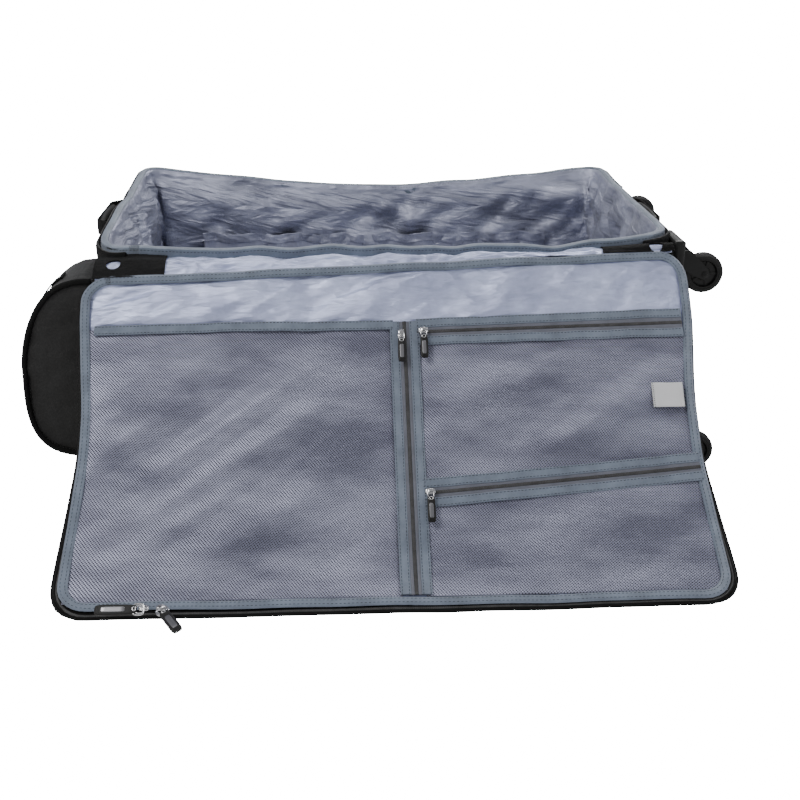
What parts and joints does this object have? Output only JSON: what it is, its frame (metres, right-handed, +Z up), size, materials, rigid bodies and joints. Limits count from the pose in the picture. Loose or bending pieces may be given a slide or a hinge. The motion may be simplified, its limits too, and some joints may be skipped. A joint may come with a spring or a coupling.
{
  "type": "rolling duffel bag",
  "caption": "Soft travel bag on swivel casters, lying on its back with its zipped lid folded open to show mesh pockets, with a telescopic handle.",
  "frame": {"origin": "centre of the back panel's flat face, which lies on the ground", "axes": "+X towards the wheel end, -X the handle end, -Y the side the lid is hinged on, +Z up out of the opening"},
  "size_m": [0.8854, 0.7937, 0.325],
  "materials": {
    "outer_fabric": "matt black woven polyester with a faint sheen",
    "lining": "silvery blue satin lining, finely creased",
    "binding": "slate blue woven tape with dark stitching",
    "mesh": "grey lavender diagonal dot mesh",
    "label": "blank white woven label",
    "plastic": "fine grained black moulded plastic",
    "tyre": "soft matt black wheel rubber",
    "zip_metal": "nickel plated die casting",
    "tube_metal": "satin anodised square tube",
    "pull": "black rubber with a brushed metal inlay"
  },
  "bodies": {
    "bag_body": {"back_panel": "outer_fabric", "body_zip_tape": "outer_fabric", "caster_housing_lower_far": "plastic", "caster_housing_lower_near": "plastic", "caster_housing_upper_far": "plastic", "caster_housing_upper_near": "plastic", "end_pouch": "outer_fabric", "far_wall": "outer_fabric", "floor_lining": "lining", "handle_end_wall": "outer_fabric", "handle_housing": "plastic", "hinge_tape": "binding", "inner_pocket": "lining", "near_wall": "outer_fabric", "outer_tube_far": "tube_metal", "outer_tube_near": "tube_metal", "tube_foot_far": "plastic", "tube_foot_near": "plastic", "wheel_end_wall": "outer_fabric"},
    "gusset": {"hinge_gusset": "lining"},
    "lid": {"lid_panel": "outer_fabric", "lid_band": "outer_fabric", "mesh_pocket_left": "mesh", "mesh_pocket_upper": "mesh", "mesh_pocket_lower": "mesh", "divider_zip_tape": "binding", "upper_zip_tape": "binding", "lower_zip_tape": "binding", "care_label": "label"},
    "divider_zip_slider_body": {"divider_zip_slider": "zip_metal"},
    "divider_zip_pull_body": {"divider_zip_pull": "pull"},
    "upper_zip_slider_body": {"upper_zip_slider": "zip_metal"},
    "upper_zip_pull_body": {"upper_zip_pull": "pull"},
    "lower_zip_slider_body": {"lower_zip_slider": "zip_metal"},
    "lower_zip_pull_body": {"lower_zip_pull": "pull"},
    "main_zip_left_slider_body": {"main_zip_left_slider": "zip_metal"},
    "main_zip_left_pull_body": {"main_zip_left_pull": "pull"},
    "main_zip_right_slider_body": {"main_zip_right_slider": "zip_metal"},
    "main_zip_right_pull_body": {"main_zip_right_pull": "pull"},
    "lower_stage": {"lower_tube_near": "tube_metal", "lower_tube_far": "tube_metal"},
    "upper_stage": {"upper_tube_near": "tube_metal", "upper_tube_far": "tube_metal", "handle_grip": "plastic"},
    "button": {"release_button": "plastic"},
    "top_carry_handle_body": {"top_carry_handle": "outer_fabric"},
    "bottom_carry_handle_body": {"bottom_carry_handle": "outer_fabric"},
    "fork_upper_near_body": {"fork_upper_near": "plastic"},
    "wheel_upper_near": {"tyre_upper_near": "tyre", "hub_upper_near": "plastic"},
    "fork_upper_far_body": {"fork_upper_far": "plastic"},
    "wheel_upper_far": {"tyre_upper_far": "tyre", "hub_upper_far": "plastic"},
    "fork_lower_near_body": {"fork_lower_near": "plastic"},
    "wheel_lower_near": {"tyre_lower_near": "tyre", "hub_lower_near": "plastic"},
    "fork_lower_far_body": {"fork_lower_far": "plastic"},
    "wheel_lower_far": {"tyre_lower_far": "tyre", "hub_lower_far": "plastic"}
  },
  "joints": [
    {"name": "gusset_fold", "type": "hinge", "parent": "bag_body", "child": "gusset", "pos_m": [0, -0.21, 0.325], "axis": [1, 0, 0], "range_deg": [-140.2, 0.2]},
    {"name": "lid_fold", "type": "hinge", "parent": "gusset", "child": "lid", "pos_m": [0, -0.22928, 0.30202], "axis": [1, 0, 0], "range_deg": [-84.9, 0]},
    {"name": "divider_zip_slide", "type": "slide", "parent": "lid", "child": "divider_zip_slider_body", "axis": [0, -0.7083, -0.7059], "range_m": [0, 0.275]},
    {"name": "divider_zip_pull_flip", "type": "hinge", "parent": "divider_zip_slider_body", "child": "divider_zip_pull_body", "pos_m": [0.0125, -0.30173, 0.2373], "axis": [1, 0, 0], "range_deg": [-120, 0]},
    {"name": "upper_zip_slide", "type": "slide", "parent": "lid", "child": "upper_zip_slider_body", "axis": [0.9997, 0.016, 0.016], "range_m": [0, 0.285]},
    {"name": "upper_zip_pull_flip", "type": "hinge", "parent": "upper_zip_slider_body", "child": "upper_zip_pull_body", "pos_m": [0.0385, -0.29874, 0.24029], "axis": [1, 0, 0], "range_deg": [-120, 0]},
    {"name": "lower_zip_slide", "type": "slide", "parent": "lid", "child": "lower_zip_slider_body", "axis": [0.9965, 0.0593, 0.0591], "range_m": [0, 0.285]},
    {"name": "lower_zip_pull_flip", "type": "hinge", "parent": "lower_zip_slider_body", "child": "lower_zip_pull_body", "pos_m": [0.0385, -0.43785, 0.10166], "axis": [1, 0, 0], "range_deg": [-120, 0]},
    {"name": "main_zip_left_slide", "type": "slide", "parent": "lid", "child": "main_zip_left_slider_body", "axis": [1, 0, 0], "range_m": [-0.07, 0]},
    {"name": "main_zip_left_pull_swing", "type": "hinge", "parent": "main_zip_left_slider_body", "child": "main_zip_left_pull_body", "pos_m": [-0.264, -0.53725, 0.00642], "axis": [0, 0, 1], "range_deg": [0, 60]},
    {"name": "main_zip_right_slide", "type": "slide", "parent": "lid", "child": "main_zip_right_slider_body", "axis": [1, 0, 0], "range_m": [0, 0.58]},
    {"name": "main_zip_right_pull_swing", "type": "hinge", "parent": "main_zip_right_slider_body", "child": "main_zip_right_pull_body", "pos_m": [-0.246, -0.53725, 0.00642], "axis": [0, 0, 1], "range_deg": [-40, 50]},
    {"name": "lower_stage_slide", "type": "slide", "parent": "bag_body", "child": "lower_stage", "axis": [-1, 0, 0], "range_m": [0, 0.4]},
    {"name": "upper_stage_slide", "type": "slide", "parent": "lower_stage", "child": "upper_stage", "axis": [-1, 0, 0], "range_m": [0, 0.4]},
    {"name": "release_button_press", "type": "slide", "parent": "upper_stage", "child": "button", "axis": [1, 0, 0], "range_m": [0, 0.004], "stiffness_N_per_m": 400},
    {"name": "top_carry_handle_pull_out", "type": "slide", "parent": "bag_body", "child": "top_carry_handle_body", "axis": [-1, 0, 0], "range_m": [0, 0.012], "stiffness_N_per_m": 200},
    {"name": "bottom_carry_handle_pull_out", "type": "slide", "parent": "bag_body", "child": "bottom_carry_handle_body", "axis": [1, 0, 0], "range_m": [0, 0.012], "stiffness_N_per_m": 200},
    {"name": "swivel_upper_near", "type": "hinge", "parent": "bag_body", "child": "fork_upper_near_body", "pos_m": [0.3663, -0.172, 0.286], "axis": [1, 0, 0], "continuous": true},
    {"name": "spin_upper_near", "type": "hinge", "parent": "fork_upper_near_body", "child": "wheel_upper_near", "pos_m": [0.3985, -0.172, 0.268], "axis": [0, 1, 0], "continuous": true},
    {"name": "swivel_upper_far", "type": "hinge", "parent": "bag_body", "child": "fork_upper_far_body", "pos_m": [0.3663, 0.172, 0.286], "axis": [1, 0, 0], "continuous": true},
    {"name": "spin_upper_far", "type": "hinge", "parent": "fork_upper_far_body", "child": "wheel_upper_far", "pos_m": [0.3985, 0.172, 0.268], "axis": [0, 1, 0], "continuous": true},
    {"name": "swivel_lower_near", "type": "hinge", "parent": "bag_body", "child": "fork_lower_near_body", "pos_m": [0.3663, -0.172, 0.0434], "axis": [1, 0, 0], "continuous": true},
    {"name": "spin_lower_near", "type": "hinge", "parent": "fork_lower_near_body", "child": "wheel_lower_near", "pos_m": [0.41, -0.172, 0.0254], "axis": [0, 1, 0], "continuous": true},
    {"name": "swivel_lower_far", "type": "hinge", "parent": "bag_body", "child": "fork_lower_far_body", "pos_m": [0.3663, 0.172, 0.0434], "axis": [1, 0, 0], "continuous": true},
    {"name": "spin_lower_far", "type": "hinge", "parent": "fork_lower_far_body", "child": "wheel_lower_far", "pos_m": [0.41, 0.172, 0.0254], "axis": [0, 1, 0], "continuous": true}
  ],
  "couplings": [
    {"joint": "gusset_fold", "follows": "lid_fold", "ratio": 1.649}
  ]
}
